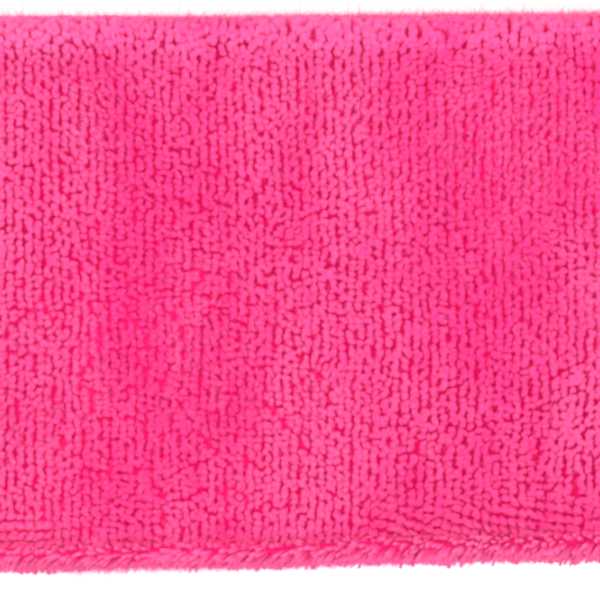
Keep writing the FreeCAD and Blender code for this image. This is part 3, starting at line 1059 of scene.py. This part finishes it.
def make_overlock(side, sign, material):
    """Overlock stitches that wrap the raw edge of a seam allowance."""
    low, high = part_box(f"seam_allowance_{side}")
    edge = high.x if sign > 0 else low.x
    turns = (high.z - low.z) / OVERLOCK_PITCH
    angle = np.arange(0, turns * math.tau, math.tau / 24)
    x = edge + sign * (0.25 * MM - OVERLOCK_BITE * (0.5 - 0.5 * np.cos(angle)))
    y = (low.y + high.y) / 2 - (high.y - low.y) / 2 * np.clip(2 * np.sin(angle), -1, 1)
    path = points_at(x, y, low.z + angle / math.tau * OVERLOCK_PITCH)
    piece = cord_piece(f"overlock_{side}", [path], 0.8 * THREAD, (0, 0, 1), material)
    fixed(piece, "centre", "thread", f"overlock_thread_{side}")


def make_upright_stitching(node, material, slot):
    """A line of stitches up the back seam, dipping into the cloth between stitches."""
    low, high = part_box(node)
    up = np.arange(low.z, high.z, STITCH / 10)
    y = (low.y + high.y) / 2 - 0.1 * MM * np.cos(up / STITCH * math.tau)
    path = points_at((low.x + high.x) / 2, y, up)
    piece = cord_piece(f"{node}_line", [path], THREAD, (1, 0, 0), material)
    fixed(piece, "centre", slot, node)


def make_label(material):
    """The blank care label: a satin ribbon folded double, open where it is sewn in."""
    low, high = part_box("care_label")
    line, outline = ribbon_outline(low, high)
    up = np.linspace(low.z, high.z, 25)
    flat, level = np.meshgrid(outline[:, 0], up)
    reach = (flat - low.x) / (high.x - low.x)
    wave = np.sin(reach * 5 + level / (high.z - low.z) * 1.5)
    points = points_at(flat, outline[:, 1] + RIBBON_WAVE * reach * wave, level)
    count = len(line)
    pair = np.arange(count - 1)
    rim = np.stack([pair, 2 * count - 1 - pair, 2 * count - 2 - pair, pair + 1], -1)
    top = rim[:, ::-1] + (len(up) - 1) * 2 * count
    faces = np.concatenate([tube_faces(1, len(up), 2 * count), rim, top])
    piece = new_mesh("care_label_ribbon", points, faces, material)
    fixed(piece, "label", "label", "care_label")


def ribbon_outline(low, high):
    """The ribbon from above: its middle line out, round the fold and back, and the line round it."""
    half = RIBBON / 2
    round_off = (high.y - low.y) / 2 - half
    run = np.linspace(low.x, high.x - round_off - half, 40)
    bend = np.linspace(-math.pi / 2, math.pi / 2, 10)[1:-1]
    middle = (low.y + high.y) / 2
    fold = np.stack([run[-1] + round_off * np.cos(bend), middle + round_off * np.sin(bend)], -1)
    near = np.stack([run, np.full(len(run), middle - round_off)], -1)
    far = np.stack([run[::-1], np.full(len(run), middle + round_off)], -1)
    line = np.concatenate([near, fold, far])
    ahead = np.gradient(line, axis=0)
    normal = np.stack([ahead[:, 1], -ahead[:, 0]], -1) / np.linalg.norm(ahead, axis=1, keepdims=True)
    return line, np.concatenate([line + half * normal, (line - half * normal)[::-1]])


def finish_join_zigzags(material):
    """The zigzags that join the ends of the web keep their CAD shape and get the thread's material."""
    for layer in ("needle", "bobbin"):
        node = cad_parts[f"web_join_{layer}_zigzag"]
        node.data.materials.clear()
        node.data.materials.append(material)


# ---- Stage ----

FRAME_WIDTH = 59.46 * MM  # what the camera sees across, at the front of the band
LENS = 250
SENSOR = 36
APERTURE = 3.66  # millimetres across
EYE_RISE = 0.25 * MM  # how far the camera is above the middle of the band
FLOOR = 8  # half the floor's side
LIGHTS = {  # place, size and power
    "key": ((-0.35, -0.8, 0.75), 0.5, 7.0),
    "fill": ((0.6, -0.7, 0.35), 0.6, 3.0),
    "rim": ((0.1, 0.6, 0.7), 0.6, 4.0),
}


def floor_material():
    """Pale and evenly lit, as paper on a light table."""
    material, _, shader = new_material("floor")
    set_inputs(shader, Base_Color=(0.6, 0.6, 0.6, 1), Roughness=0.9)
    set_inputs(shader, Emission_Color=(1, 1, 1, 1), Emission_Strength=0.95)
    return material


def make_stage():
    """A white world, a pale floor just under the fibres and three soft lights."""
    world = bpy.data.worlds.new("studio")
    bpy.context.scene.world = world
    world.use_nodes = True
    set_inputs(world.node_tree.nodes["Background"], Color=(1, 1, 1, 1), Strength=1.0)
    corners = np.array([(-FLOOR, -FLOOR, 0), (FLOOR, -FLOOR, 0), (FLOOR, FLOOR, 0), (-FLOOR, FLOOR, 0)])
    corners = corners - [0, 0, 0.02 * MM]
    new_mesh("floor", corners, np.array([[0, 1, 2, 3]]), floor_material())
    for name, (place, size, power) in LIGHTS.items():
        add_light(name, place, size, power)


def add_light(name, place, size, power):
    """A soft square light aimed at the middle of the front."""
    lamp = bpy.data.lights.new(name, "AREA")
    lamp.size = size
    lamp.energy = power
    made = new_object(name, lamp)
    made.location = place
    aim = Vector((0, 0, band.height / 2)) - made.location
    made.rotation_mode = "QUATERNION"
    made.rotation_quaternion = aim.to_track_quat("-Z", "Y")


def make_camera():
    """The photo's view: level with the middle of the front, and sharp there."""
    camera = bpy.data.cameras.new("camera")
    camera.lens = LENS
    camera.sensor_width = SENSOR
    made = new_object("camera", camera)
    front = -(band.end_radius + band.half_thickness)
    distance = FRAME_WIDTH / 2 / (SENSOR / 2 / LENS)
    made.location = (0, front - distance, band.height / 2 + EYE_RISE + REST)
    made.rotation_euler = (math.radians(90), 0, 0)
    camera.clip_start = 0.01
    camera.clip_end = 50
    focus = new_object("focus", None)
    focus.location = (0, 0, band.height / 2)
    camera.dof.use_dof = True
    camera.dof.focus_object = focus
    camera.dof.aperture_fstop = LENS / APERTURE
    bpy.context.scene.camera = made
    bpy.context.scene.view_settings.view_transform = "Standard"


def main():
    pile, ground = pile_material(), ground_material()
    for piece, side in make_pile(pile) + make_fuzz(fuzz_material()) + make_ground(ground):
        carry(piece, side, "terry_cover")
    thread = thread_material("pink_thread", THREAD_PINK)
    white_thread = thread_material("white_thread", THREAD_WHITE)
    make_hem_stitching(thread)
    webbing = woven_material("webbing", WEB_WHITES, threads=1400, rough=0.8, sheen=0.1)
    make_elastic(webbing, rubber_material())
    for side, sign in SIDES.items():
        make_seam_allowance(side, sign, pile, ground)
        make_overlock(side, sign, thread)
    make_upright_stitching("back_seam_thread", thread, "thread")
    make_upright_stitching("label_stitch", white_thread, "thread_white")
    make_label(woven_material("satin_label", SATIN_WHITES, threads=5000, rough=0.35, sheen=0.2))
    finish_join_zigzags(white_thread)
    make_stage()
    make_camera()


main()
